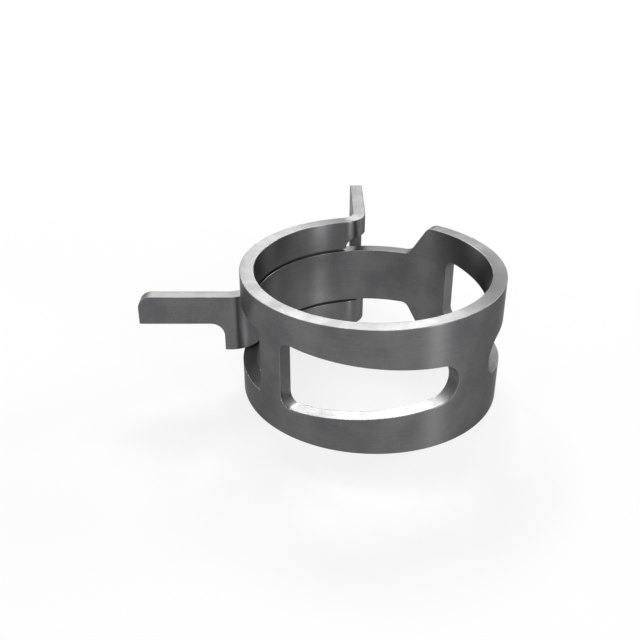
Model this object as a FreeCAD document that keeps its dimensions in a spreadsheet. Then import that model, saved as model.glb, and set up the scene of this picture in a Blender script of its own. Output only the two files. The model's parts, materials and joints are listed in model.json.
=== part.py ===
"""A spring band hose clamp: one strip of spring steel, stamped flat, rolled into a ring and bent.

One end of the strip is a narrow tongue, the other a fork whose slot the tongue passes through. Each end
turns outwards into a tang. Squeezing the tangs together opens the ring, and let go it grips the hose.

Millimetres and degrees. Z is the axis of the bore and z = 0 is the lower edge of the band. The tongue's
tang points along -X with its front face in the plane Y = 0, and the fork's tang points along +Y with its
outer face in the plane X = 0. The middle of the body faces away from both, at 315 degrees.
"""
import FreeCAD, Part
import math
import os
import Sketcher
from FreeCAD import Base, Placement, Rotation, Vector

NODE = "spring_band"

# Driving sizes of the clamp, in millimetres and degrees.
SIZES = (
    ("bore_diameter", 21.5, "inside of the ring when nothing squeezes it"),
    ("sheet_thickness", 1.3, "strip of spring steel"),
    ("band_width", 12.0, "full width of the strip, along the bore"),
    ("body_half_angle", 100.9, "from the middle of the body to the slot's end, and to the shoulder's start"),
    ("centre_column_width", 4.06, "left between the two windows, along the strip"),
    ("side_column_width", 2.63, "left outside each window, along the strip"),
    ("window_height", 6.5, "at the wide end of each window"),
    ("window_end_radius", 1.9, "round narrow end of each window"),
    ("window_corner_radius", 0.95, "corners of the wide end"),
    ("tongue_width", 5.6, "narrow end of the strip"),
    ("shoulder_slope", 57.0, "from the strip's edge down to the tongue"),
    ("shoulder_radius", 1.0, "both curves of each shoulder"),
    ("slot_clearance", 0.3, "between the tongue and each arm of the fork"),
    ("slot_corner_radius", 0.3, "blind end of the fork's slot"),
    ("bend_radius", 1.5, "inside of the bend from the ring into each tang"),
    ("tongue_tang_length", 9.66, "from the outside of the ring to the tip"),
    ("handle_height", 2.8, "part of the tongue's tang that reaches out"),
    ("handle_root_flat", 0.5, "full height of the tongue's tang past its bend"),
    ("handle_fillet", 1.25, "between the root and the underside of the handle"),
    ("fork_tang_length", 10.7, "from the outside of the ring to the tip"),
    ("fork_bar_width", 3.25, "cross bar that closes the fork at its tip"),
    ("eye_rise", 0.95, "how far the eye's upper edge stands above the slot's"),
    ("eye_corner_radius", 0.8, "corners of the eye"),
    ("eye_lead", 0.1, "full height of the eye, past its first corner, before the tang's plate"),
    ("tang_corner_radius", 1.2, "outer corners of the tangs"),
)

# Sizes that follow from the driving ones, as expressions that the sketches are bound to.
INNER_RADIUS = "(Sizes.bore_diameter / 2)"
OUTER_RADIUS = f"({INNER_RADIUS} + Sizes.sheet_thickness)"
NEUTRAL_RADIUS = f"({INNER_RADIUS} + Sizes.sheet_thickness / 2)"
MID_HEIGHT = "(Sizes.band_width / 2)"
TONGUE_LOW = "((Sizes.band_width - Sizes.tongue_width) / 2)"
TONGUE_HIGH = "((Sizes.band_width + Sizes.tongue_width) / 2)"
SLOT_LOW = f"({TONGUE_LOW} - Sizes.slot_clearance)"
SLOT_HIGH = f"({TONGUE_HIGH} + Sizes.slot_clearance)"
EYE_HIGH = f"({SLOT_HIGH} + Sizes.eye_rise)"
EYE_START = "(Sizes.sheet_thickness + Sizes.eye_lead + Sizes.eye_corner_radius)"
TONGUE_REACH = f"({OUTER_RADIUS} + Sizes.tongue_tang_length)"
FORK_REACH = f"({OUTER_RADIUS} + Sizes.fork_tang_length)"

# The bend's centre lies off the tang's face by its outer radius, and off the ring by its inner one.
BEND_OFFSET = "(Sizes.sheet_thickness + Sizes.bend_radius)"
BEND_REACH = f"(sqrt(({OUTER_RADIUS} + Sizes.bend_radius)^2 - {BEND_OFFSET}^2))"
BEND_ANGLE = f"(asin({BEND_OFFSET} / ({OUTER_RADIUS} + Sizes.bend_radius)) / 1 deg)"

# Lengths along the strip run from the middle of the body.
BODY_END = f"(Sizes.body_half_angle * pi / 180 * {NEUTRAL_RADIUS})"
FORK_JOIN = f"({BODY_END} - Sizes.side_column_width / 2)"
SHOULDER_FOOT = f"({BODY_END} + {TONGUE_LOW} / tan(Sizes.shoulder_slope))"
TONGUE_JOIN = f"({SHOULDER_FOOT} + Sizes.shoulder_radius)"

# The middle of the body stands 45 degrees short of +X, and the two tangs are mirrored about its line.
MIDDLE_ANGLE = 45
CUT_MARGIN = 1.0
SLOT_OVERLAP_ANGLE = 2
CURVE_POINTS = 25
TOLERANCE = 0.001
VOLUME_TOLERANCE = 0.5

# Points of a sketch's geometry, and its axes, by the numbers that constraints use.
START, END, CENTRE = 1, 2, 3
ORIGIN = (-1, 1)
AXES = {"X": -2, "Y": -1}


def make_sheet(doc):
    """The sheet of driving sizes: a name, a plain number and a note on each row."""
    sheet = doc.addObject("Spreadsheet::Sheet", "Sizes")
    for row, (name, value, note) in enumerate(SIZES, start=1):
        sheet.set(f"A{row}", name)
        sheet.set(f"B{row}", str(value))
        sheet.set(f"C{row}", note)
        sheet.setAlias(f"B{row}", name)
    doc.recompute()
    return sheet


def number(owner, expression):
    """What an expression comes to now, as a plain number."""
    value = owner.evalExpression(expression)
    return float(getattr(value, "Value", value))


def origin_plane(body, role):
    """One of the body's own origin planes, by its role."""
    return next(feature for feature in body.Origin.OriginFeatures if feature.Role == role)


def new_sketch(body, name, role, offset=Placement()):
    """An empty sketch on one of the body's origin planes."""
    sketch = body.newObject("Sketcher::SketchObject", name)
    sketch.AttachmentSupport = [(origin_plane(body, role), "")]
    sketch.MapMode = "FlatFace"
    sketch.AttachmentOffset = offset
    return sketch


def bind(sketch, constraint, expression):
    """Adds a dimension and ties it to an expression."""
    index = sketch.addConstraint(constraint)
    sketch.setExpression(f"Constraints[{index}]", expression)


def place(sketch, point, axis, expression):
    """Dimensions one coordinate of a point from the origin. The distance itself is never negative."""
    kind = "Distance" + axis
    value = number(sketch, expression)
    if expression == "0":
        sketch.addConstraint(Sketcher.Constraint("PointOnObject", *point, AXES[axis]))
    elif value > 0:
        bind(sketch, Sketcher.Constraint(kind, *ORIGIN, *point, value), expression)
    else:
        bind(sketch, Sketcher.Constraint(kind, *point, *ORIGIN, -value), f"-({expression})")


def arc(centre, radius, first, last):
    """An arc from one angle anticlockwise to another, both in radians."""
    circle = Part.Circle(centre, Vector(0, 0, 1), radius)
    return Part.ArcOfCircle(circle, first, last)


def corner_point(sketch, line_before, line_after, at):
    """A construction point where two lines would meet, for dimensioning a rounded corner."""
    point = (sketch.addGeometry(Part.Point(at), True), START)
    for line in (line_before, line_after):
        sketch.addConstraint(Sketcher.Constraint("PointOnObject", *point, line))
    return point


def draw_outline(sketch, corners):
    """Draws a closed outline of straight lines, anticlockwise or not, with some corners rounded.

    Each corner is its x, its y and its radius, all expressions, with None for a sharp corner. Every
    corner is dimensioned from the origin, a rounded one at the point where its two lines would meet.
    """
    points = []
    radii = []
    for x, y, radius in corners:
        points.append(Vector(number(sketch, x), number(sketch, y), 0))
        radii.append(number(sketch, radius) if radius else 0)

    arrivals = []
    departures = []
    arcs = []
    for i, point in enumerate(points):
        back = (points[i - 1] - point).normalize()
        ahead = (points[(i + 1) % len(points)] - point).normalize()
        half = back.getAngle(ahead) / 2
        reach = radii[i] / math.tan(half)
        arrive = point + back * reach
        depart = point + ahead * reach
        arrivals.append(arrive)
        departures.append(depart)
        if not radii[i]:
            arcs.append(None)
            continue
        centre = point + (back + ahead).normalize() * (radii[i] / math.sin(half))
        left_turn = ahead.cross(back).z > 0
        first, last = (arrive, depart) if left_turn else (depart, arrive)
        first_angle = math.atan2(first.y - centre.y, first.x - centre.x)
        last_angle = math.atan2(last.y - centre.y, last.x - centre.x)
        if last_angle < first_angle:
            last_angle += 2 * math.pi
        arcs.append((arc(centre, radii[i], first_angle, last_angle), left_turn))

    lines = []
    for i, depart in enumerate(departures):
        segment = Part.LineSegment(depart, arrivals[(i + 1) % len(points)])
        lines.append(sketch.addGeometry(segment, False))

    for i, (x, y, radius) in enumerate(corners):
        before, after = lines[i - 1], lines[i]
        if arcs[i]:
            geometry, left_turn = arcs[i]
            curve = sketch.addGeometry(geometry, False)
            first, last = (START, END) if left_turn else (END, START)
            sketch.addConstraint(Sketcher.Constraint("Tangent", before, END, curve, first))
            sketch.addConstraint(Sketcher.Constraint("Tangent", curve, last, after, START))
            bind(sketch, Sketcher.Constraint("Radius", curve, radii[i]), radius)
            point = corner_point(sketch, before, after, points[i])
        else:
            sketch.addConstraint(Sketcher.Constraint("Coincident", before, END, after, START))
            point = (after, START)
        place(sketch, point, "X", x)
        place(sketch, point, "Y", y)


def draw_strip(sketch, join, reach):
    """Draws one end of the strip seen from above: a stretch of the ring, the bend and the tang.

    The ring runs anticlockwise from the join to the bend, and the tang points along -x with its face on
    the x axis. The join is a length along the strip from the middle of the body.
    """
    inner = number(sketch, INNER_RADIUS)
    outer = number(sketch, OUTER_RADIUS)
    bend_radius = number(sketch, "Sizes.bend_radius")
    offset = number(sketch, BEND_OFFSET)
    bend = Vector(-number(sketch, BEND_REACH), offset, 0)
    bend_angle = math.radians(number(sketch, BEND_ANGLE))
    bend_start = math.pi - bend_angle
    tip = -number(sketch, reach)
    thickness = number(sketch, "Sizes.sheet_thickness")
    start_angle = f"({join} / {NEUTRAL_RADIUS} * 180 / pi - {MIDDLE_ANGLE})"
    start = math.radians(number(sketch, start_angle))
    out = Vector(math.cos(start), math.sin(start), 0)
    centre = Vector(0, 0, 0)

    add = sketch.addGeometry
    ring_inside = add(arc(centre, inner, start, bend_start), False)
    bend_outside = add(arc(bend, offset, -math.pi / 2, -bend_angle), False)
    face = add(Part.LineSegment(Vector(bend.x, 0, 0), Vector(tip, 0, 0)), False)
    tip_edge = add(Part.LineSegment(Vector(tip, 0, 0), Vector(tip, thickness, 0)), False)
    back = add(Part.LineSegment(Vector(tip, thickness, 0), Vector(bend.x, thickness, 0)), False)
    bend_inside = add(arc(bend, bend_radius, -math.pi / 2, -bend_angle), False)
    ring_outside = add(arc(centre, outer, start, bend_start), False)
    join_edge = add(Part.LineSegment(out * inner, out * outer), False)

    for rule in (
        ("Coincident", ring_inside, CENTRE, *ORIGIN),
        ("Coincident", ring_outside, CENTRE, *ORIGIN),
        ("Coincident", bend_inside, CENTRE, bend_outside, CENTRE),
        ("Tangent", ring_inside, END, bend_outside, END),
        ("Tangent", bend_outside, START, face, START),
        ("Coincident", face, END, tip_edge, START),
        ("Coincident", tip_edge, END, back, START),
        ("Tangent", back, END, bend_inside, START),
        ("Tangent", bend_inside, END, ring_outside, END),
        ("Coincident", ring_outside, START, join_edge, END),
        ("Coincident", join_edge, START, ring_inside, START),
        ("PointOnObject", *ORIGIN, join_edge),
        ("PointOnObject", face, START, AXES["Y"]),
        ("Horizontal", face),
        ("Vertical", tip_edge),
        ("Horizontal", back),
    ):
        sketch.addConstraint(Sketcher.Constraint(*rule))
    bind(sketch, Sketcher.Constraint("Radius", ring_inside, inner), INNER_RADIUS)
    bind(sketch, Sketcher.Constraint("Radius", ring_outside, outer), OUTER_RADIUS)
    bind(sketch, Sketcher.Constraint("Radius", bend_inside, bend_radius), "Sizes.bend_radius")
    bind(sketch, Sketcher.Constraint("Angle", join_edge, start), start_angle)
    place(sketch, (tip_edge, START), "X", f"(-{reach})")


def draw_window(sketch):
    """Draws one window of the flat strip: a tapered opening with a full round narrow end.

    The two long edges leave the round end as tangents and meet the wide end's line, if their corners
    were sharp, as far apart as the window is high there.
    """
    end_radius = number(sketch, "Sizes.window_end_radius")
    corner_radius = number(sketch, "Sizes.window_corner_radius")
    middle = number(sketch, MID_HEIGHT)
    half_height = number(sketch, "Sizes.window_height / 2")
    end_x = "(Sizes.centre_column_width / 2 + Sizes.window_end_radius)"
    wide_x = f"({BODY_END} - Sizes.side_column_width)"
    round_end = Vector(number(sketch, end_x), middle, 0)
    wide = number(sketch, wide_x)

    run = wide - round_end.x
    taper = math.atan2(half_height, run) - math.asin(end_radius / math.hypot(run, half_height))
    rise = half_height - corner_radius * (math.tan(taper) + 1 / math.cos(taper))
    low_corner = Vector(wide - corner_radius, middle - rise, 0)
    high_corner = Vector(wide - corner_radius, middle + rise, 0)
    up = Vector(-math.sin(taper), math.cos(taper), 0)
    down = Vector(-math.sin(taper), -math.cos(taper), 0)
    up_angle = math.pi / 2 + taper
    down_angle = 3 * math.pi / 2 - taper

    add = sketch.addGeometry
    low_line = add(Part.LineSegment(round_end + down * end_radius, low_corner + down * corner_radius), False)
    low_curve = add(arc(low_corner, corner_radius, down_angle, 2 * math.pi), False)
    wide_line = add(Part.LineSegment(Vector(wide, low_corner.y, 0), Vector(wide, high_corner.y, 0)), False)
    high_curve = add(arc(high_corner, corner_radius, 0, up_angle), False)
    high_line = add(Part.LineSegment(high_corner + up * corner_radius, round_end + up * end_radius), False)
    end_curve = add(arc(round_end, end_radius, up_angle, down_angle), False)

    loop = (low_line, low_curve, wide_line, high_curve, high_line, end_curve)
    for piece, following in zip(loop, loop[1:] + loop[:1]):
        sketch.addConstraint(Sketcher.Constraint("Tangent", piece, END, following, START))
    sketch.addConstraint(Sketcher.Constraint("Vertical", wide_line))
    sketch.addConstraint(Sketcher.Constraint("Equal", low_curve, high_curve))
    bind(sketch, Sketcher.Constraint("Radius", low_curve, corner_radius), "Sizes.window_corner_radius")
    bind(sketch, Sketcher.Constraint("Radius", end_curve, end_radius), "Sizes.window_end_radius")
    place(sketch, (end_curve, CENTRE), "X", end_x)
    place(sketch, (end_curve, CENTRE), "Y", MID_HEIGHT)
    place(sketch, (wide_line, START), "X", wide_x)
    for line, side, height in ((low_line, "-", middle - half_height), (high_line, "+", middle + half_height)):
        corner = corner_point(sketch, line, wide_line, Vector(wide, height, 0))
        place(sketch, corner, "Y", f"({MID_HEIGHT} {side} Sizes.window_height / 2)")


def pad(body, sketch, name, height):
    """A pad of a given height, half of it to each side of its sketch."""
    feature = body.newObject("PartDesign::Pad", name)
    feature.Profile = sketch
    feature.Midplane = True
    feature.setExpression("Length", height)
    return feature


def finish_cut(doc, body, cut):
    """Recomputes a cut and makes it the body's tip. A cut that takes nothing away is a fault."""
    before = cut.BaseFeature.Shape.Volume
    doc.recompute()
    if cut.Shape.Volume > before - TOLERANCE:
        raise ValueError(f"{cut.Name} cuts nothing")
    body.Tip = cut


def fillet(doc, body, name, radius, middles):
    """Rounds the edges of the body that have these middle points, one edge for each."""
    base = body.Tip
    names = []
    for middle in middles:
        for index, edge in enumerate(base.Shape.Edges, start=1):
            if edge.CenterOfMass.distanceToPoint(middle) < TOLERANCE:
                names.append(f"Edge{index}")
    if len(names) != len(middles):
        raise ValueError(f"{name} needs {len(middles)} edges and finds {len(names)}")
    feature = body.newObject("PartDesign::Fillet", name)
    feature.Base = (base, names)
    feature.setExpression("Radius", radius)
    doc.recompute()
    body.Tip = feature


def make_fork(doc):
    """The wide end: two arms on either side of the tongue, joined again by the bar of a tall tang."""
    body = doc.addObject("PartDesign::Body", "Fork")

    # The tongue's outline turned over about the line halfway between the two tangs.
    turned_over = Rotation(Vector(-1, 1, 0), 180)
    strip = new_sketch(body, "ForkStrip", "XY_Plane", Placement(Vector(), turned_over))
    strip.setExpression("AttachmentOffset.Base.z", MID_HEIGHT)
    draw_strip(strip, FORK_JOIN, FORK_REACH)
    pad(body, strip, "ForkPad", "Sizes.band_width")
    doc.recompute()

    # The slot is turned about the bore's axis, from its blind end to just past the start of the eye.
    # Its outline lies on the -x side of a plane through the axis, which is why the plane turns so far.
    plane_angle = f"({180 - MIDDLE_ANGLE} - Sizes.body_half_angle)"
    blind_end = Rotation(Vector(0, 1, 0), number(body, plane_angle))
    section = new_sketch(body, "SlotSection", "XZ_Plane", Placement(Vector(), blind_end))
    section.setExpression("AttachmentOffset.Rotation.Angle", plane_angle)
    draw_outline(section, (
        (f"-({OUTER_RADIUS} + {CUT_MARGIN})", SLOT_LOW, None),
        (f"-({INNER_RADIUS} - {CUT_MARGIN})", SLOT_LOW, None),
        (f"-({INNER_RADIUS} - {CUT_MARGIN})", SLOT_HIGH, None),
        (f"-({OUTER_RADIUS} + {CUT_MARGIN})", SLOT_HIGH, None),
    ))
    slot = body.newObject("PartDesign::Groove", "Slot")
    slot.Profile = section
    slot.ReferenceAxis = (section, ["V_Axis"])
    slot.Reversed = True
    eye_angle = f"asin({EYE_START} / {NEUTRAL_RADIUS}) / 1 deg"
    slot.setExpression("Angle", f"90 + {plane_angle} - {eye_angle} + {SLOT_OVERLAP_ANGLE}")
    finish_cut(doc, body, slot)

    # The eye is cut along +Y, through the bend and on to the cross bar. It carries on the slot's lower
    # edge, and its upper one steps up to let the root of the tongue's tang through.
    eye_outline = new_sketch(body, "EyeOutline", "XZ_Plane")
    draw_outline(eye_outline, (
        (f"-{EYE_START}", SLOT_LOW, None),
        (f"{CUT_MARGIN}", SLOT_LOW, None),
        (f"{CUT_MARGIN}", EYE_HIGH, None),
        (f"-{EYE_START}", EYE_HIGH, "Sizes.eye_corner_radius"),
    ))
    eye = body.newObject("PartDesign::Pocket", "Eye")
    eye.Profile = eye_outline
    eye.setExpression("Length", f"{FORK_REACH} - Sizes.fork_bar_width")
    finish_cut(doc, body, eye)

    angle = math.radians(number(body, plane_angle))
    neutral = number(body, NEUTRAL_RADIUS)
    slot_end = Vector(-math.cos(angle), -math.sin(angle), 0) * neutral
    plate_middle = -number(body, "Sizes.sheet_thickness / 2")
    bar = number(body, f"{FORK_REACH} - Sizes.fork_bar_width")
    tip = number(body, FORK_REACH)
    slot_heights = [number(body, height) for height in (SLOT_LOW, SLOT_HIGH)]
    eye_heights = [number(body, height) for height in (SLOT_LOW, EYE_HIGH)]
    edge_heights = [0, number(body, "Sizes.band_width")]
    fillet(doc, body, "SlotCorners", "Sizes.slot_corner_radius",
           [Vector(slot_end.x, slot_end.y, z) for z in slot_heights])
    fillet(doc, body, "EyeCorners", "Sizes.eye_corner_radius",
           [Vector(plate_middle, bar, z) for z in eye_heights])
    fillet(doc, body, "ForkTip", "Sizes.tang_corner_radius",
           [Vector(plate_middle, tip, z) for z in edge_heights])
    return body


def make_tongue(doc):
    """The narrow end: a strip inside the fork's slot, bent out into a tang with a slim handle."""
    body = doc.addObject("PartDesign::Body", "Tongue")
    strip = new_sketch(body, "TongueStrip", "XY_Plane")
    strip.setExpression("AttachmentOffset.Base.z", MID_HEIGHT)
    draw_strip(strip, TONGUE_JOIN, TONGUE_REACH)
    pad(body, strip, "TonguePad", "Sizes.tongue_width")
    doc.recompute()

    # Everything under the handle goes, from its root's edge out past the tip.
    root = f"-({BEND_REACH} + Sizes.handle_root_flat)"
    past_tip = f"-({TONGUE_REACH} + {CUT_MARGIN})"
    underside = f"({TONGUE_HIGH} - Sizes.handle_height)"
    below = f"({TONGUE_LOW} - {CUT_MARGIN})"
    under_handle = new_sketch(body, "UnderHandle", "XZ_Plane")
    draw_outline(under_handle, (
        (past_tip, below, None),
        (root, below, None),
        (root, underside, "Sizes.handle_fillet"),
        (past_tip, underside, None),
    ))
    cut = body.newObject("PartDesign::Pocket", "HandleCut")
    cut.Profile = under_handle
    cut.setExpression("Length", "Sizes.sheet_thickness")
    finish_cut(doc, body, cut)

    plate_middle = number(body, "Sizes.sheet_thickness / 2")
    fillet(doc, body, "TongueTip", "Sizes.tang_corner_radius",
           [Vector(-number(body, TONGUE_REACH), plate_middle, number(body, TONGUE_HIGH))])
    return body


def rolled_edge(edge, surface, neutral):
    """One edge of the flat strip laid on a cylinder: its length along the strip becomes an angle.

    The angle is the length over the neutral radius, counted from the half turn at the strip's middle. An
    edge along the strip becomes an arc and one across it a line, a sloping one stays straight on the
    surface, and a curve passes through points taken along it.
    """
    def laid(point):
        return Base.Vector2d(math.pi + point.x / neutral, point.y)

    ends = [laid(edge.valueAt(parameter)) for parameter in (edge.FirstParameter, edge.LastParameter)]
    if not isinstance(edge.Curve, Part.Line):
        curve = Part.Geom2d.BSplineCurve2d()
        curve.interpolate([laid(point) for point in edge.discretize(CURVE_POINTS)])
        return curve.toShape(surface)
    if abs(ends[0].y - ends[1].y) < TOLERANCE:
        first, last = sorted(end.x for end in ends)
        return arc(Vector(0, 0, ends[0].y), surface.Radius, first, last).toShape()
    if abs(ends[0].x - ends[1].x) < TOLERANCE / neutral:
        return Part.LineSegment(*[surface.value(end.x, end.y) for end in ends]).toShape()
    return Part.Geom2d.Line2dSegment(*ends).toShape(surface)


def cut_face(near, far):
    """The face between an edge on the inner skin and the same edge on the outer one."""
    if isinstance(near.Curve, Part.BSplineCurve):
        return Part.makeRuledSurface(near, far)
    start, end = [Part.LineSegment(a.Point, b.Point).toShape() for a, b in zip(near.Vertexes, far.Vertexes)]
    return Part.Face(Part.Wire([near, end, far, start]))


def rolled_solid(outline, openings, inner, outer):
    """Rolls a flat stamped outline with its openings into a wall between two radii.

    The inner and outer skins carry the same outline in angle and height, so the lines that join them are
    all radial, as they are in a strip that was cut square and then rolled.
    """
    neutral = (inner + outer) / 2
    skins = []
    rolled = []
    for radius in (inner, outer):
        surface = Part.Cylinder()
        surface.Radius = radius
        wires = []
        for flat in (outline, *openings):
            wires.append(Part.Wire([rolled_edge(edge, surface, neutral) for edge in flat.OrderedEdges]))
        skin = Part.Face(surface, wires[0])
        skin.cutHoles(wires[1:])
        skin.validate()
        skins.append(skin)
        rolled.append(wires)
    walls = []
    for inside, outside in zip(*rolled):
        for near, far in zip(inside.Edges, outside.Edges):
            walls.append(cut_face(near, far))
    shell = Part.makeShell(skins + walls)
    shell.sewShape()
    return Part.makeSolid(shell)


def make_body(doc):
    """The rolled body between the fork and the tongue, with its two windows and its shoulders."""
    outline = doc.addObject("Sketcher::SketchObject", "FlatOutline")
    left = f"(-{FORK_JOIN})"
    draw_outline(outline, (
        (left, "0", None),
        (BODY_END, "0", "Sizes.shoulder_radius"),
        (SHOULDER_FOOT, TONGUE_LOW, "Sizes.shoulder_radius"),
        (TONGUE_JOIN, TONGUE_LOW, None),
        (TONGUE_JOIN, TONGUE_HIGH, None),
        (SHOULDER_FOOT, TONGUE_HIGH, "Sizes.shoulder_radius"),
        (BODY_END, "Sizes.band_width", "Sizes.shoulder_radius"),
        (left, "Sizes.band_width", None),
    ))
    window = doc.addObject("Sketcher::SketchObject", "FlatWindow")
    draw_window(window)
    doc.recompute()

    window_wire = window.Shape.Wires[0]
    twin_wire = window_wire.mirror(Vector(0, 0, 0), Vector(1, 0, 0)).Wires[0]
    inner = number(outline, INNER_RADIUS)
    outer = number(outline, OUTER_RADIUS)
    body = doc.addObject("Part::Feature", "RolledBody")
    body.Shape = rolled_solid(outline.Shape.Wires[0], (window_wire, twin_wire), inner, outer)
    body.Placement = Placement(Vector(), Rotation(Vector(0, 0, 1), 180 - MIDDLE_ANGLE))
    return body


def check(doc, clamp, pieces):
    """Stops if an object failed, or the clamp isn't one sound solid of its three stretches."""
    for item in doc.Objects:
        if {"Invalid", "Error"} & set(item.State):
            raise ValueError(f"{item.Name} failed: {item.State}")
    for item in (*pieces, clamp):
        if item.Shape.isNull() or not item.Shape.isValid():
            raise ValueError(f"{item.Name} has no valid shape")
    if len(clamp.Shape.Solids) != 1:
        raise ValueError(f"the clamp is {len(clamp.Shape.Solids)} solids")
    total = sum(piece.Shape.Volume for piece in pieces)
    if abs(clamp.Shape.Volume - total) > VOLUME_TOLERANCE:
        raise ValueError(f"the stretches of the strip overlap: {clamp.Shape.Volume} of {total}")


doc = FreeCAD.newDocument("HoseClamp")
make_sheet(doc)
stretches = (make_fork(doc), make_body(doc), make_tongue(doc))

# The three stretches meet face to face across the strip, and the joined clamp is one piece of steel.
clamp = doc.addObject("Part::MultiFuse", "SpringBand")
clamp.Shapes = list(stretches)
clamp.Refine = True
clamp.Label = NODE
doc.recompute()
check(doc, clamp, stretches)

os.makedirs("parts", exist_ok=True)
clamp.Shape.exportStep(f"parts/{NODE}.step")
box = clamp.Shape.BoundBox
print(f"{NODE}: {clamp.Shape.Volume:.2f} mm3, {box.XLength:.2f} x {box.YLength:.2f} x {box.ZLength:.2f} mm")
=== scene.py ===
"""A spring band hose clamp: one stamped, rolled and bent strip of coated spring steel.

Lengths are in millimetres until a mesh or a lamp is made, and the axes are the part's own.
"""
import json
import math

import bpy
import numpy as np
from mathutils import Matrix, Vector
from mathutils.geometry import delaunay_2d_cdt


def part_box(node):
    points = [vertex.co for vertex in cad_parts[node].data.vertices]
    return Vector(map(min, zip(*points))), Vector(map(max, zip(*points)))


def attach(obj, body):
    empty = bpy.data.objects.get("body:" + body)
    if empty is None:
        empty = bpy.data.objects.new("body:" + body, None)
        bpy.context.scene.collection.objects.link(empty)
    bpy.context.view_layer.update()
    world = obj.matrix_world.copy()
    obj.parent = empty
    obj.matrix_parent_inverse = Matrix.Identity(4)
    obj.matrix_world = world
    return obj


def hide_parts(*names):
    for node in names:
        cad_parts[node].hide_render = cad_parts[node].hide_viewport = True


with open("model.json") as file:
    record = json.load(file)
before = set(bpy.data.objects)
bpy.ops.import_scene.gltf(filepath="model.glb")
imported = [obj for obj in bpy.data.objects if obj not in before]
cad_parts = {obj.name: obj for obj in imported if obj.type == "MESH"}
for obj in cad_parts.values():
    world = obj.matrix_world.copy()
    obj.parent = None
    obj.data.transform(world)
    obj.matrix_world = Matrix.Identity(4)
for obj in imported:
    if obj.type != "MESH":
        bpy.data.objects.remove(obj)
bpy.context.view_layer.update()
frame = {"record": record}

# The strip, from its sheet to its form. The clamp is a single strip of hardened spring steel. It is stamped
# flat with its windows, its fork's slot and its narrow tongue, rolled into a ring so that the tongue lies in
# the slot, and bent outwards at both ends. Its size comes from the frame.
MM = 0.001
NODE = "spring_band"
low_corner, high_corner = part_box(NODE)
bore = next(m for m in frame["record"]["mounts"] if m["name"] == "hose_bore")
BAND_WIDTH = high_corner.z / MM
INNER_RADIUS = bore["dims"]["r_mm"]
OUTER_RADIUS = high_corner.x / MM
THICKNESS = OUTER_RADIUS - INNER_RADIUS
NEUTRAL_RADIUS = INNER_RADIUS + THICKNESS / 2
TONGUE_REACH = -low_corner.x / MM
FORK_REACH = high_corner.y / MM

# The strip's middle stands 45 degrees clockwise of +X, as seen from above. A bend's centre is the bend's
# inside radius off the ring, and the tang's far face lies on the plane through the bore's axis.
MIDDLE_ANGLE = math.radians(-45)
BEND_RADIUS = 1.5
BEND_NEUTRAL = BEND_RADIUS + THICKNESS / 2
BEND_OFFSET = BEND_RADIUS + THICKNESS
BEND_REACH = math.sqrt((OUTER_RADIUS + BEND_RADIUS) ** 2 - BEND_OFFSET ** 2)
BEND_START = math.pi - math.asin(BEND_OFFSET / (OUTER_RADIUS + BEND_RADIUS))
RING_LENGTH = (BEND_START - MIDDLE_ANGLE) * NEUTRAL_RADIUS
BEND_LENGTH = (BEND_START - math.pi / 2) * BEND_NEUTRAL


def formed(along, height, out):
    """Points of the flat strip laid where forming takes them.

    along is the length from the middle of the strip, positive towards the tongue. Its outward normal turns
    anticlockwise by length over the neutral radius on the ring, back by length over the bend's own radius
    in the bend, and stays put on the tang. The other half is the mirror image, x and y swapped and negated.
    """
    length = np.abs(along)
    on_ring = np.minimum(length, RING_LENGTH)
    on_bend = np.clip(length - RING_LENGTH, 0, BEND_LENGTH)
    on_tang = np.maximum(length - RING_LENGTH - BEND_LENGTH, 0)
    turn = MIDDLE_ANGLE + on_ring / NEUTRAL_RADIUS - on_bend / BEND_NEUTRAL
    normal_x, normal_y = np.cos(turn), np.sin(turn)
    ring = length < RING_LENGTH
    x = np.where(ring, NEUTRAL_RADIUS * normal_x, -BEND_REACH - BEND_NEUTRAL * normal_x - on_tang)
    y = np.where(ring, NEUTRAL_RADIUS * normal_y, BEND_OFFSET - BEND_NEUTRAL * normal_y)
    x = x + out * normal_x
    y = y + out * normal_y
    fork = along < 0
    return np.stack([np.where(fork, -y, x), np.where(fork, -x, y), height], axis=-1)


def tang_end(reach):
    """Length along the strip at which a tang reaches this far from the bore's axis."""
    return RING_LENGTH + BEND_LENGTH + reach - BEND_REACH


# The outlines that the press stamps: the strip's own, the two windows, and the slot with its eye. Each runs
# with the steel on its left. The sizes are those of the part.
BODY_HALF_ANGLE = math.radians(100.9)
BODY_END = BODY_HALF_ANGLE * NEUTRAL_RADIUS
MID_HEIGHT = BAND_WIDTH / 2
CENTRE_COLUMN = 4.06
SIDE_COLUMN = 2.63
WINDOW_HEIGHT = 6.5
WINDOW_END_RADIUS = 1.9
WINDOW_CORNER = 0.95
TONGUE_WIDTH = 5.6
TONGUE_LOW = MID_HEIGHT - TONGUE_WIDTH / 2
TONGUE_HIGH = MID_HEIGHT + TONGUE_WIDTH / 2
SHOULDER_SLOPE = math.radians(57)
SHOULDER_FOOT = BODY_END + TONGUE_LOW / math.tan(SHOULDER_SLOPE)
SHOULDER_RADIUS = 1.0
TANG_CORNER = 1.2
STAMPED_CORNER = 0.12
HANDLE_HEIGHT = 2.8
HANDLE_LOW = TONGUE_HIGH - HANDLE_HEIGHT
ROOT_FLAT = 0.5
HANDLE_ROOT = tang_end(BEND_REACH) + ROOT_FLAT
HANDLE_FILLET = 1.25
SLOT_CLEARANCE = 0.3
SLOT_LOW = TONGUE_LOW - SLOT_CLEARANCE
SLOT_HIGH = TONGUE_HIGH + SLOT_CLEARANCE
SLOT_CORNER = 0.3
EYE_RISE = 0.95
EYE_HIGH = SLOT_HIGH + EYE_RISE
EYE_CORNER = 0.8
EYE_LEAD = 0.16
EYE_START = RING_LENGTH + EYE_LEAD
FORK_BAR = 3.25
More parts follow.
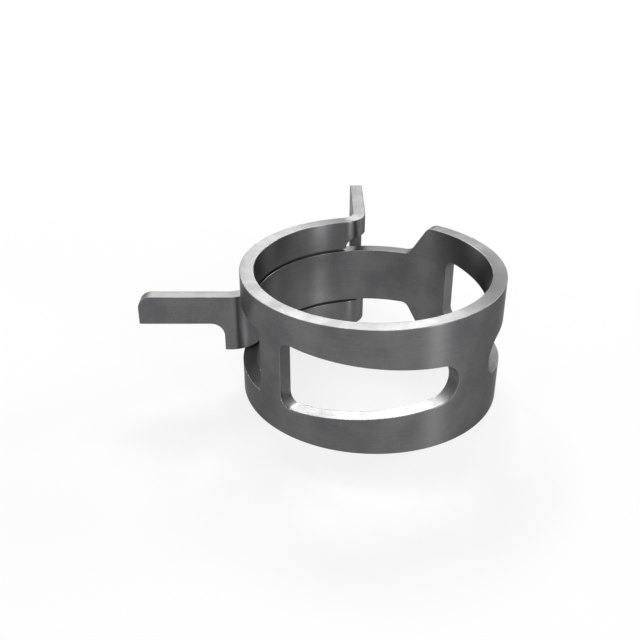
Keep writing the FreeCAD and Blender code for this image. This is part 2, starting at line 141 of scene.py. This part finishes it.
EYE_END = tang_end(FORK_REACH - FORK_BAR)
ARC_STEP = math.radians(9)
OUTLINE_SPACING = 0.2


def arc_points(centre, radius, first, last):
    """Points of an arc from one angle to another, one for each step of the arc and both ends."""
    count = max(2, math.ceil(abs(last - first) / ARC_STEP) + 1)
    angles = np.linspace(first, last, count)
    return np.stack([centre[0] + radius * np.cos(angles), centre[1] + radius * np.sin(angles)], axis=-1)


def rounded_outline(corners):
    """A closed outline from its corners, each a length, a height and a radius.

    A corner's arc touches both of its lines at radius over the tangent of half the angle between them.
    """
    places = np.array([(length, height) for length, height, _ in corners], float)
    radii = [radius for _, _, radius in corners]
    stretches = []
    for i, radius in enumerate(radii):
        place = places[i]
        back = places[i - 1] - place
        ahead = places[(i + 1) % len(places)] - place
        back = back / np.linalg.norm(back)
        ahead = ahead / np.linalg.norm(ahead)
        half = math.acos(np.clip(back @ ahead, -1, 1)) / 2
        middle = (back + ahead) / np.linalg.norm(back + ahead)
        centre = place + middle * radius / math.sin(half)
        sweep = math.pi - 2 * half
        turn = np.sign(ahead[0] * back[1] - ahead[1] * back[0])
        start = place + back * radius / math.tan(half) - centre
        first = math.atan2(start[1], start[0])
        stretches.append(arc_points(centre, radius, first, first + turn * sweep))
    return np.concatenate(stretches)


def window_outline(side):
    """A tapered window: a full round narrow end, and two straight edges that spread to the wide end.

    The taper is the angle at which the round end's centre sees the wide end's corner, less the angle whose
    sine is the round end's radius over the distance to that corner. The window on the other side is the
    mirror image, and is run round in reverse to keep the steel on its left.
    """
    round_x = CENTRE_COLUMN / 2 + WINDOW_END_RADIUS
    wide_x = BODY_END - SIDE_COLUMN
    half_height = WINDOW_HEIGHT / 2
    run = wide_x - round_x
    taper = math.atan2(half_height, run) - math.asin(WINDOW_END_RADIUS / math.hypot(run, half_height))
    rise = half_height - WINDOW_CORNER * (math.tan(taper) + 1 / math.cos(taper))
    corner_x = wide_x - WINDOW_CORNER
    quarter = math.pi / 2
    loop = np.concatenate([
        arc_points((round_x, MID_HEIGHT), WINDOW_END_RADIUS, -quarter - taper, -3 * quarter + taper),
        arc_points((corner_x, MID_HEIGHT + rise), WINDOW_CORNER, quarter + taper, 0),
        arc_points((corner_x, MID_HEIGHT - rise), WINDOW_CORNER, 0, -quarter - taper),
    ])
    return loop if side > 0 else (loop * (-1, 1))[::-1]


def split_long(loop, spacing):
    """Divides each side of a closed outline that is longer than the spacing into equal parts."""
    ahead = np.roll(loop, -1, axis=0)
    counts = np.ceil(np.linalg.norm(ahead - loop, axis=1) / spacing).astype(int)
    counts = np.maximum(counts, 1)
    side = np.repeat(np.arange(len(loop)), counts)
    step = np.arange(counts.sum()) - np.repeat(np.cumsum(counts) - counts, counts)
    share = (step / counts[side])[:, None]
    return loop[side] * (1 - share) + ahead[side] * share


strip_outline = rounded_outline((
    (-tang_end(FORK_REACH), 0, TANG_CORNER),
    (BODY_END, 0, SHOULDER_RADIUS),
    (SHOULDER_FOOT, TONGUE_LOW, SHOULDER_RADIUS),
    (HANDLE_ROOT, TONGUE_LOW, STAMPED_CORNER),
    (HANDLE_ROOT, HANDLE_LOW, HANDLE_FILLET),
    (tang_end(TONGUE_REACH), HANDLE_LOW, STAMPED_CORNER),
    (tang_end(TONGUE_REACH), TONGUE_HIGH, TANG_CORNER),
    (SHOULDER_FOOT, TONGUE_HIGH, SHOULDER_RADIUS),
    (BODY_END, BAND_WIDTH, SHOULDER_RADIUS),
    (-tang_end(FORK_REACH), BAND_WIDTH, TANG_CORNER),
))
slot_outline = rounded_outline((
    (-EYE_END, SLOT_LOW, EYE_CORNER),
    (-EYE_END, EYE_HIGH, EYE_CORNER),
    (-EYE_START, EYE_HIGH, EYE_CORNER),
    (-EYE_START, SLOT_HIGH, STAMPED_CORNER),
    (-BODY_END, SLOT_HIGH, SLOT_CORNER),
    (-BODY_END, SLOT_LOW, SLOT_CORNER),
))
outlines = [split_long(loop, OUTLINE_SPACING)
            for loop in (strip_outline, window_outline(1), window_outline(-1), slot_outline)]


# The edges. Stamping leaves a sheared wall, and tumbling before the coat rounds its two rims a little. The
# profile of an edge runs from the outer skin over one rim, down the wall and over the other.
EDGE_RADIUS = 0.05
EDGE_SUPPORT = 0.04
EDGE_DEPTH = EDGE_RADIUS + EDGE_SUPPORT
EDGE_STEPS = 5
WALL_STEPS = 4


def inset(loop, distance):
    """The outline moved into the steel by a distance, with mitred corners.

    A point moves along the sum of its two sides' left normals, over one plus their scalar product.
    """
    side = np.roll(loop, -1, axis=0) - loop
    side = side / np.linalg.norm(side, axis=1, keepdims=True)
    left = np.stack([-side[:, 1], side[:, 0]], axis=-1)
    before = np.roll(left, 1, axis=0)
    return loop + distance * (left + before) / (1 + (left * before).sum(axis=1, keepdims=True))


def outline_run(loop):
    """Length along a closed outline up to each of its points."""
    steps = np.linalg.norm(np.roll(loop, -1, axis=0) - loop, axis=1)
    return np.concatenate([[0], np.cumsum(steps)[:-1]])


def edge_profile():
    """Insets and heights over the neutral line, from the support on one skin to that on the other.

    A rim is a quarter circle. A support is a ring of points beside a rim, on the skin and on the wall, so
    that both are shaded as flat as they are.
    """
    turn = np.linspace(0, math.pi / 2, EDGE_STEPS + 1)
    rim_inset = EDGE_RADIUS * (1 - np.sin(turn))
    rim_out = THICKNESS / 2 - EDGE_RADIUS * (1 - np.cos(turn))
    wall_out = np.linspace(rim_out[-1] - EDGE_SUPPORT, EDGE_SUPPORT - rim_out[-1], WALL_STEPS - 1)
    wall_inset = np.zeros(len(wall_out))
    insets = np.concatenate([[EDGE_DEPTH], rim_inset, wall_inset, rim_inset[::-1], [EDGE_DEPTH]])
    outs = np.concatenate([[THICKNESS / 2], rim_out, wall_out, -rim_out[::-1], [-THICKNESS / 2]])
    return insets, outs


# The skins, and the strip as a whole. Rolling leaves the sheet two smooth faces, and the edges join them all
# round, so the strip is one closed body. Its points lie closer together where it bends.
MIDDLE_GAP = 0.2
RING_SPACING = 0.45
BEND_SPACING = 0.15
TANG_SPACING = 0.5
SKIN_ROWS = 25
SKIN_CLEARANCE = 0.2
POINTS_AT_ONCE = 1000
SAME_PLACE = 1e-7
FAR_FROM_EDGE = 1.0
UV_SPAN = 120.0


def inside(points, loops):
    """Whether each point lies in the steel.

    A ray from such a point along the strip crosses the outlines an odd number of times.
    """
    crossings = np.zeros(len(points), int)
    for loop in loops:
        ahead = np.roll(loop, -1, axis=0)
        low, high = loop[:, 1], ahead[:, 1]
        spans = (low <= points[:, 1:2]) != (high <= points[:, 1:2])
        rise = np.where(high == low, 1, high - low)
        cross = loop[:, 0] + (points[:, 1:2] - low) / rise * (ahead[:, 0] - loop[:, 0])
        crossings += (spans & (cross > points[:, 0:1])).sum(axis=1)
    return crossings % 2 == 1


def evenly(first, last, spacing):
    """Lengths from first up to but not at last, in equal steps no longer than the spacing."""
    return np.linspace(first, last, math.ceil((last - first) / spacing), endpoint=False)


def skin_points(loops):
    """Points of a plain grid over the strip, finer in the bends, that stand clear of the outlines."""
    bend_end = RING_LENGTH + BEND_LENGTH
    half = np.concatenate([
        evenly(MIDDLE_GAP, RING_LENGTH, RING_SPACING),
        evenly(RING_LENGTH, bend_end, BEND_SPACING),
        evenly(bend_end, tang_end(FORK_REACH), TANG_SPACING),
    ])
    lengths = np.concatenate([-half[::-1], half])
    heights = np.linspace(0, BAND_WIDTH, SKIN_ROWS)
    grid = np.stack(np.meshgrid(lengths, heights), axis=-1).reshape(-1, 2)
    kept = inside(grid, loops)
    rim = np.concatenate(loops)
    for start in range(0, len(grid), POINTS_AT_ONCE):
        block = slice(start, start + POINTS_AT_ONCE)
        gap = np.linalg.norm(grid[block, None] - rim[None], axis=-1).min(axis=1)
        kept[block] &= gap > SKIN_CLEARANCE
    return grid[kept]


def skin_triangles(flat, sides, loops):
    """Triangles between the points of a skin, inside its outlines and anticlockwise from outside."""
    found, _, triangles, *_ = delaunay_2d_cdt([Vector(p) for p in flat.tolist()], sides.tolist(), [], 0,
                                              SAME_PLACE)
    if len(found) != len(flat):
        raise ValueError("the outlines of the strip cross")
    triangles = np.array(triangles)
    triangles = triangles[inside(flat[triangles].mean(axis=1), loops)]
    a, b, c = (flat[triangles[:, k]] for k in range(3))
    clockwise = (b[:, 0] - a[:, 0]) * (c[:, 1] - a[:, 1]) < (b[:, 1] - a[:, 1]) * (c[:, 0] - a[:, 0])
    triangles[clockwise] = triangles[clockwise][:, ::-1]
    return triangles


def save_places(mesh, name, places):
    """Keeps a place for each of the mesh's points, for the finish to read."""
    layer = mesh.attributes.new(name, "FLOAT_VECTOR", "POINT")
    layer.data.foreach_set("vector", (places * MM).astype(np.float32).ravel())


def build_strip():
    """The strip as one closed mesh: two skins and, round each outline, the edge's profile carried along."""
    insets, outs = edge_profile()
    loops = [inset(loop, insets[0]) for loop in outlines]
    counts = [len(loop) for loop in loops]
    rim_count = sum(counts)
    starts = np.cumsum([0] + counts[:-1])
    sides = np.concatenate([start + np.stack([np.arange(count), np.roll(np.arange(count), -1)], axis=-1)
                            for start, count in zip(starts, counts)])
    inner_points = skin_points(loops)
    triangles = skin_triangles(np.concatenate([*loops, inner_points]), sides, loops)

    # Rings of the profile. The first and the last are the rims of the two skins.
    layers = [(np.concatenate([inset(loop, depth) for loop in outlines]), out)
              for depth, out in zip(insets, outs)]
    layers += [(inner_points, outs[0]), (inner_points, outs[-1])]
    strip = np.concatenate([np.column_stack([points, np.full(len(points), out)]) for points, out in layers])

    rim = np.arange(rim_count)
    inner = np.arange(len(inner_points))
    ring_total = len(outs) * rim_count
    outer_skin = np.concatenate([rim, ring_total + inner])
    inner_skin = np.concatenate([rim + (len(outs) - 1) * rim_count, ring_total + len(inner_points) + inner])
    quads = np.concatenate([
        np.stack([sides[:, 0] + k * rim_count, sides[:, 0] + (k + 1) * rim_count,
                  sides[:, 1] + (k + 1) * rim_count, sides[:, 1] + k * rim_count], axis=-1)
        for k in range(len(outs) - 1)
    ])
    faces = [*outer_skin[triangles].tolist(), *inner_skin[triangles[:, ::-1]].tolist(), *quads.tolist()]

    mesh = bpy.data.meshes.new("Spring_band")
    mesh.from_pydata((formed(strip[:, 0], strip[:, 1], strip[:, 2]) * MM).tolist(), [], faces)
    mesh.validate()
    mesh.shade_smooth()

    # The strip's own coordinates, for the patterns that follow it, and those of its edges: how far round the
    # outline, how deep in the steel, and how far out.
    run = np.tile(np.concatenate([outline_run(loop) for loop in outlines]), len(insets))
    run = np.concatenate([run, np.zeros(2 * len(inner_points))])
    depth = np.concatenate([np.repeat(insets, rim_count), np.full(2 * len(inner_points), FAR_FROM_EDGE)])
    save_places(mesh, "strip_place", strip)
    save_places(mesh, "edge_place", np.stack([run, depth, strip[:, 2]], axis=-1))

    corners = np.zeros(len(mesh.loops), int)
    mesh.loops.foreach_get("vertex_index", corners)
    strip_map = strip[corners, :2] / UV_SPAN + 0.5

    # On that map the sheared wall has no width. It is mapped by how far down the wall and how far round the
    # outline it is, so that its grain runs the way the punch went. Its corners come after the three of each
    # triangle of both skins, and the four of each side of the rings before it.
    first = 2 * 3 * len(triangles) + 4 * (EDGE_STEPS + 1) * rim_count
    wall = slice(first, first + 4 * WALL_STEPS * rim_count)
    on_wall = corners[wall]
    strip_map[wall] = np.stack([THICKNESS / 2 - strip[on_wall, 2], run[on_wall]], axis=-1) / (2 * UV_SPAN)
    uv = mesh.uv_layers.new(name="strip_uv")
    uv.data.foreach_set("uv", strip_map.astype(np.float32).ravel())
    return mesh


scene = bpy.context.scene
band = bpy.data.objects.new("Spring_band", build_strip())
scene.collection.objects.link(band)
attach(band, "root")
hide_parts(NODE)


# The finish. Hardened strip steel is tumbled and dip-spun in a zinc flake coat, which bakes to a satin grey
# metal. It is clouded where the coat ran thicker, lined along the strip by the rolling mill, and thinner and
# so a little brighter on the stamped edges.
COAT_DARK = "#5e5e60"
COAT_LIGHT = "#6a6a6a"
RIM_GREY = "#70706f"
GRAZING_TINT = "#a8a8a8"
GLOSS_STRETCH = 0.8
CLOUD_SIZE = 2.4
FLAKE_SIZE = 0.14
FLAKE_DEPTH = 0.0015
MILL_LINE_WIDTH = 0.16
MILL_LINE_LENGTH = 9.0
MILL_LINE_DEPTH = 0.0012
SHEAR_LINE_WIDTH = 0.13
SHEAR_LINE_HEIGHT = 2.0
SHEAR_LINE_DEPTH = 0.0005
RIM_MASK_FULL = 0.4 * EDGE_RADIUS
WALL_MASK_START = 0.6 * EDGE_RADIUS

# The shade is the clouds' noise with a share of the flakes' and of the mill lines', between these two ends.
FLAKE_SHARE = 0.35
MILL_LINE_SHARE = 0.3
DARK_END = 0.6
LIGHT_END = 1.05

# How far the coat is worn off the rims and the wall where the clouds are light, and the share of that where
# they are dark. The ends are the clouds' noise for each.
RIM_WEAR = 0.8
WALL_WEAR = 0.65
LEAST_WEAR = 0.7
LEAST_WEAR_END = 0.35
FULL_WEAR_END = 0.65

# Roughness where the coat is darkest and lightest, and what the wall adds. The wall's relief is a share of
# the skins'.
DARK_ROUGHNESS = 0.38
LIGHT_ROUGHNESS = 0.31
WALL_ROUGHNESS = 0.05
WALL_RELIEF = 0.1


def linear(code):
    """An sRGB hex colour as linear red, green, blue and alpha."""
    channels = [int(code[i:i + 2], 16) / 255 for i in (1, 3, 5)]
    return [c / 12.92 if c <= 0.04045 else ((c + 0.055) / 1.055) ** 2.4 for c in channels] + [1.0]


def add_node(tree, kind, links=(), values=(), **settings):
    """Adds a node with its settings, its inputs' values and its links, each input by its name or number."""
    node = tree.nodes.new(kind)
    for name, value in settings.items():
        setattr(node, name, value)
    for name, value in values:
        node.inputs[name].default_value = value
    for name, socket in links:
        tree.links.new(socket, node.inputs[name])
    return node


def per_metre(size):
    """How often a pattern of this size, in millimetres, repeats in a metre."""
    return 1 / (size * MM)


def zinc_flake_coat():
    """Zinc flake over strip steel: a satin grey metal, softly clouded and lined, and brighter at its edges.

    Flakes of the real coat are about 0.01 mm across. They are drawn 0.14 mm across here, to show at all.
    """
    material = bpy.data.materials.new("zinc_flake_coat")
    material.use_nodes = True
    tree = material.node_tree
    tree.nodes.clear()
    on_strip = add_node(tree, "ShaderNodeAttribute", attribute_name="strip_place").outputs["Vector"]
    on_edge = add_node(tree, "ShaderNodeAttribute", attribute_name="edge_place").outputs["Vector"]

    # Clouds and flakes are as long as they are wide. Mill lines run along the strip, and shear lines across
    # the sheared wall, the way the punch went.
    clouds = add_node(tree, "ShaderNodeTexNoise", [("Vector", on_strip)],
                      [("Scale", per_metre(CLOUD_SIZE)), ("Detail", 3.0)]).outputs["Fac"]
    flakes = add_node(tree, "ShaderNodeTexNoise", [("Vector", on_strip)],
                      [("Scale", per_metre(FLAKE_SIZE)), ("Detail", 1.0)]).outputs["Fac"]
    mill_width = per_metre(MILL_LINE_WIDTH)
    drawn_out = add_node(tree, "ShaderNodeMapping", [("Vector", on_strip)],
                         [("Scale", (per_metre(MILL_LINE_LENGTH), mill_width, mill_width))]).outputs["Vector"]
    mill_lines = add_node(tree, "ShaderNodeTexNoise", [("Vector", drawn_out)],
                          [("Scale", 1.0), ("Detail", 2.0)]).outputs["Fac"]
    shear_scale = (per_metre(SHEAR_LINE_WIDTH), 0.0, per_metre(SHEAR_LINE_HEIGHT))
    punched = add_node(tree, "ShaderNodeMapping", [("Vector", on_edge)],
                       [("Scale", shear_scale)]).outputs["Vector"]
    shear_lines = add_node(tree, "ShaderNodeTexNoise", [("Vector", punched)],
                           [("Scale", 1.0), ("Detail", 2.0)]).outputs["Fac"]

    # Masks by depth in the steel: the rounded rim with the wall below it, and the sheared wall alone.
    depth = add_node(tree, "ShaderNodeSeparateXYZ", [("Vector", on_edge)]).outputs["Y"]
    edge = add_node(tree, "ShaderNodeMapRange", [("Value", depth)],
                    [("From Min", EDGE_DEPTH * MM), ("From Max", RIM_MASK_FULL * MM)],
                    interpolation_type="SMOOTHSTEP").outputs["Result"]
    wall = add_node(tree, "ShaderNodeMapRange", [("Value", depth)],
                    [("From Min", WALL_MASK_START * MM), ("From Max", 0.0)],
                    interpolation_type="SMOOTHSTEP").outputs["Result"]

    # The coat's shade, and how far it has worn to the brighter steel of the edges.
    with_flakes = add_node(tree, "ShaderNodeMath", [(0, flakes), (2, clouds)], [(1, FLAKE_SHARE)],
                           operation="MULTIPLY_ADD").outputs["Value"]
    with_lines = add_node(tree, "ShaderNodeMath", [(0, mill_lines), (2, with_flakes)],
                          [(1, MILL_LINE_SHARE)], operation="MULTIPLY_ADD").outputs["Value"]
    shade = add_node(tree, "ShaderNodeMapRange", [("Value", with_lines)],
                     [("From Min", DARK_END), ("From Max", LIGHT_END)],
                     interpolation_type="SMOOTHSTEP").outputs["Result"]
    coat = add_node(tree, "ShaderNodeMixRGB", [("Fac", shade)],
                    [("Color1", linear(COAT_DARK)), ("Color2", linear(COAT_LIGHT))]).outputs["Color"]
    patches = add_node(tree, "ShaderNodeMapRange", [("Value", clouds)],
                       [("From Min", LEAST_WEAR_END), ("From Max", FULL_WEAR_END), ("To Min", LEAST_WEAR)],
                       interpolation_type="SMOOTHSTEP").outputs["Result"]
    thinned = add_node(tree, "ShaderNodeMapRange", [("Value", wall)],
                       [("To Min", RIM_WEAR), ("To Max", WALL_WEAR)]).outputs["Result"]
    worn_edge = add_node(tree, "ShaderNodeMath", [(0, edge), (1, thinned)],
                         operation="MULTIPLY").outputs["Value"]
    wear = add_node(tree, "ShaderNodeMath", [(0, worn_edge), (1, patches)],
                    operation="MULTIPLY").outputs["Value"]
    colour = add_node(tree, "ShaderNodeMixRGB", [("Fac", wear), ("Color1", coat)],
                      [("Color2", linear(RIM_GREY))]).outputs["Color"]

    # Lighter flakes lie flatter, so they are a little smoother. The sheared wall is rougher.
    satin = add_node(tree, "ShaderNodeMapRange", [("Value", shade)],
                     [("To Min", DARK_ROUGHNESS), ("To Max", LIGHT_ROUGHNESS)]).outputs["Result"]
    roughness = add_node(tree, "ShaderNodeMath", [(0, wall), (2, satin)], [(1, WALL_ROUGHNESS)],
                         operation="MULTIPLY_ADD").outputs["Value"]

    # Shearing leaves the wall plainer than the skins, so the mill lines and flakes stand lower on it.
    relief = add_node(tree, "ShaderNodeMapRange", [("Value", wall)],
                      [("To Min", 1.0), ("To Max", WALL_RELIEF)]).outputs["Result"]
    lined = add_node(tree, "ShaderNodeBump", [("Height", mill_lines), ("Strength", relief)],
                     [("Distance", MILL_LINE_DEPTH * MM)]).outputs["Normal"]
    grained = add_node(tree, "ShaderNodeBump", [("Height", flakes), ("Strength", relief), ("Normal", lined)],
                       [("Distance", FLAKE_DEPTH * MM)]).outputs["Normal"]
    torn = add_node(tree, "ShaderNodeMath", [(0, shear_lines), (1, wall)],
                    operation="MULTIPLY").outputs["Value"]
    sheared = add_node(tree, "ShaderNodeBump", [("Height", torn), ("Normal", grained)],
                       [("Distance", SHEAR_LINE_DEPTH * MM)]).outputs["Normal"]

    # The lines along the strip stretch its gloss across them, a quarter turn from the tangent.
    along_strip = add_node(tree, "ShaderNodeTangent", direction_type="UV_MAP",
                           uv_map="strip_uv").outputs["Tangent"]
    shader = add_node(tree, "ShaderNodeBsdfPrincipled",
                      [("Base Color", colour), ("Roughness", roughness), ("Normal", sheared),
                       ("Tangent", along_strip)],
                      [("Metallic", 1.0), ("Specular Tint", linear(GRAZING_TINT)),
                       ("Anisotropic", GLOSS_STRETCH), ("Anisotropic Rotation", 0.25)]).outputs["BSDF"]
    add_node(tree, "ShaderNodeOutputMaterial", [("Surface", shader)])
    return material


band.data.materials.append(zinc_flake_coat())


# The studio: a white floor, a white surround and soft lamps. The three lamps behind the clamp light its level
# faces, and the others its sides. None of this is part of the object.
FLOOR_RADIUS = 500.0
FLOOR_SIDES = 96
FLOOR_PAINT = "#f7f7f7"
WHITE = "#ffffff"
WHITE_SHARE = 0.82
SURROUND_LIGHT = 0.1
LAMP_DISTANCE = 900.0


def seen_or_mirrored(tree):
    """1 for rays from the camera, from a mirroring surface or through glass, and 0 for the rest."""
    path = add_node(tree, "ShaderNodeLightPath").outputs
    either = add_node(tree, "ShaderNodeMath", [(0, path["Is Camera Ray"]), (1, path["Is Glossy Ray"])],
                      operation="MAXIMUM").outputs["Value"]
    return add_node(tree, "ShaderNodeMath", [(0, either), (1, path["Is Transmission Ray"])],
                    operation="MAXIMUM").outputs["Value"]


def white_floor():
    """A plain white disc that runs far past the view.

    A share of what is seen of it is plain white, so that the clamp's shadow stays and is as light as on a lit
    table.
    """
    bpy.ops.mesh.primitive_circle_add(vertices=FLOOR_SIDES, radius=FLOOR_RADIUS * MM, fill_type="NGON")
    floor = bpy.context.object
    floor.name = "Floor"
    material = bpy.data.materials.new("white_floor")
    material.use_nodes = True
    tree = material.node_tree
    tree.nodes.clear()
    paint = add_node(tree, "ShaderNodeBsdfDiffuse", values=[("Color", linear(FLOOR_PAINT))]).outputs["BSDF"]
    white = add_node(tree, "ShaderNodeEmission", values=[("Color", linear(WHITE))]).outputs["Emission"]
    share = add_node(tree, "ShaderNodeMath", [(0, seen_or_mirrored(tree))], [(1, WHITE_SHARE)],
                     operation="MULTIPLY").outputs["Value"]
    mixed = add_node(tree, "ShaderNodeMixShader", [(0, share), (1, paint), (2, white)]).outputs["Shader"]
    add_node(tree, "ShaderNodeOutputMaterial", [("Surface", mixed)])
    floor.data.materials.append(material)


def white_world():
    """A plain surround: white where it is seen or mirrored, and softer as a light."""
    world = bpy.data.worlds.new("Surround")
    world.use_nodes = True
    tree = world.node_tree
    tree.nodes.clear()
    strength = add_node(tree, "ShaderNodeMapRange", [("Value", seen_or_mirrored(tree))],
                        [("To Min", SURROUND_LIGHT)]).outputs["Result"]
    background = add_node(tree, "ShaderNodeBackground", [("Strength", strength)],
                          [("Color", linear(WHITE))]).outputs["Background"]
    add_node(tree, "ShaderNodeOutputWorld", [("Surface", background)])
    scene.world = world


def soft_lamp(name, azimuth, elevation, width, height, radiance):
    """A soft box that faces the clamp, its width and height in degrees as the clamp sees them.

    Azimuth 0 is behind the clamp, along +Y, and turns towards +X. The box's side is twice its distance by the
    tangent of half its angle, and its power is pi times its area times its radiance.
    """
    data = bpy.data.lights.new(name, "AREA")
    data.shape = "RECTANGLE"
    data.size = 2 * LAMP_DISTANCE * MM * math.tan(math.radians(width) / 2)
    data.size_y = 2 * LAMP_DISTANCE * MM * math.tan(math.radians(height) / 2)
    data.energy = radiance * math.pi * data.size * data.size_y
    lamp = bpy.data.objects.new(name, data)
    turn, lift = math.radians(azimuth), math.radians(elevation)
    centre = Vector((0, 0, MID_HEIGHT * MM))
    away = Vector((math.sin(turn) * math.cos(lift), math.cos(turn) * math.cos(lift), math.sin(lift)))
    lamp.location = centre + away * LAMP_DISTANCE * MM
    lamp.rotation_euler = away.to_track_quat("Z", "Y").to_euler()
    lamp.visible_camera = False
    scene.collection.objects.link(lamp)


white_floor()
white_world()
soft_lamp("Back_lamp", azimuth=-3, elevation=36, width=18, height=8, radiance=37.5)
soft_lamp("Back_right_lamp", azimuth=21, elevation=36, width=6, height=8, radiance=39.0)
soft_lamp("Back_left_lamp", azimuth=-21, elevation=44, width=6, height=8, radiance=38.6)
soft_lamp("Left_lamp", azimuth=-60, elevation=8, width=20, height=14, radiance=10.7)
soft_lamp("Right_lamp", azimuth=60, elevation=22, width=20, height=14, radiance=16.0)
soft_lamp("Front_right_lamp", azimuth=130, elevation=8, width=10, height=16, radiance=28.0)
soft_lamp("Front_lamp", azimuth=165, elevation=24, width=20, height=16, radiance=8.1)
soft_lamp("Front_left_lamp", azimuth=-120, elevation=22, width=20, height=14, radiance=5.5)

# The camera stands where the photograph's did, a little left of the clamp, and looks down at it. Its dip and
# its turn are in degrees, and it sees nothing nearer than its near limit.
CAMERA_PLACE = (-4.83, -69.03, 43.82)
CAMERA_DIP = 28.447
CAMERA_TURN = -0.064
CAMERA_LENS = 47.09
CAMERA_SENSOR = 36.0
CAMERA_NEAR_LIMIT = 1.0
camera_data = bpy.data.cameras.new("Camera")
camera_data.sensor_width = CAMERA_SENSOR
camera_data.lens = CAMERA_LENS
camera_data.clip_start = CAMERA_NEAR_LIMIT * MM
camera = bpy.data.objects.new("Camera", camera_data)
camera.location = Vector(CAMERA_PLACE) * MM
camera.rotation_euler = (math.radians(90 - CAMERA_DIP), 0, math.radians(CAMERA_TURN))
scene.collection.objects.link(camera)
scene.camera = camera

scene.view_settings.view_transform = "Standard"
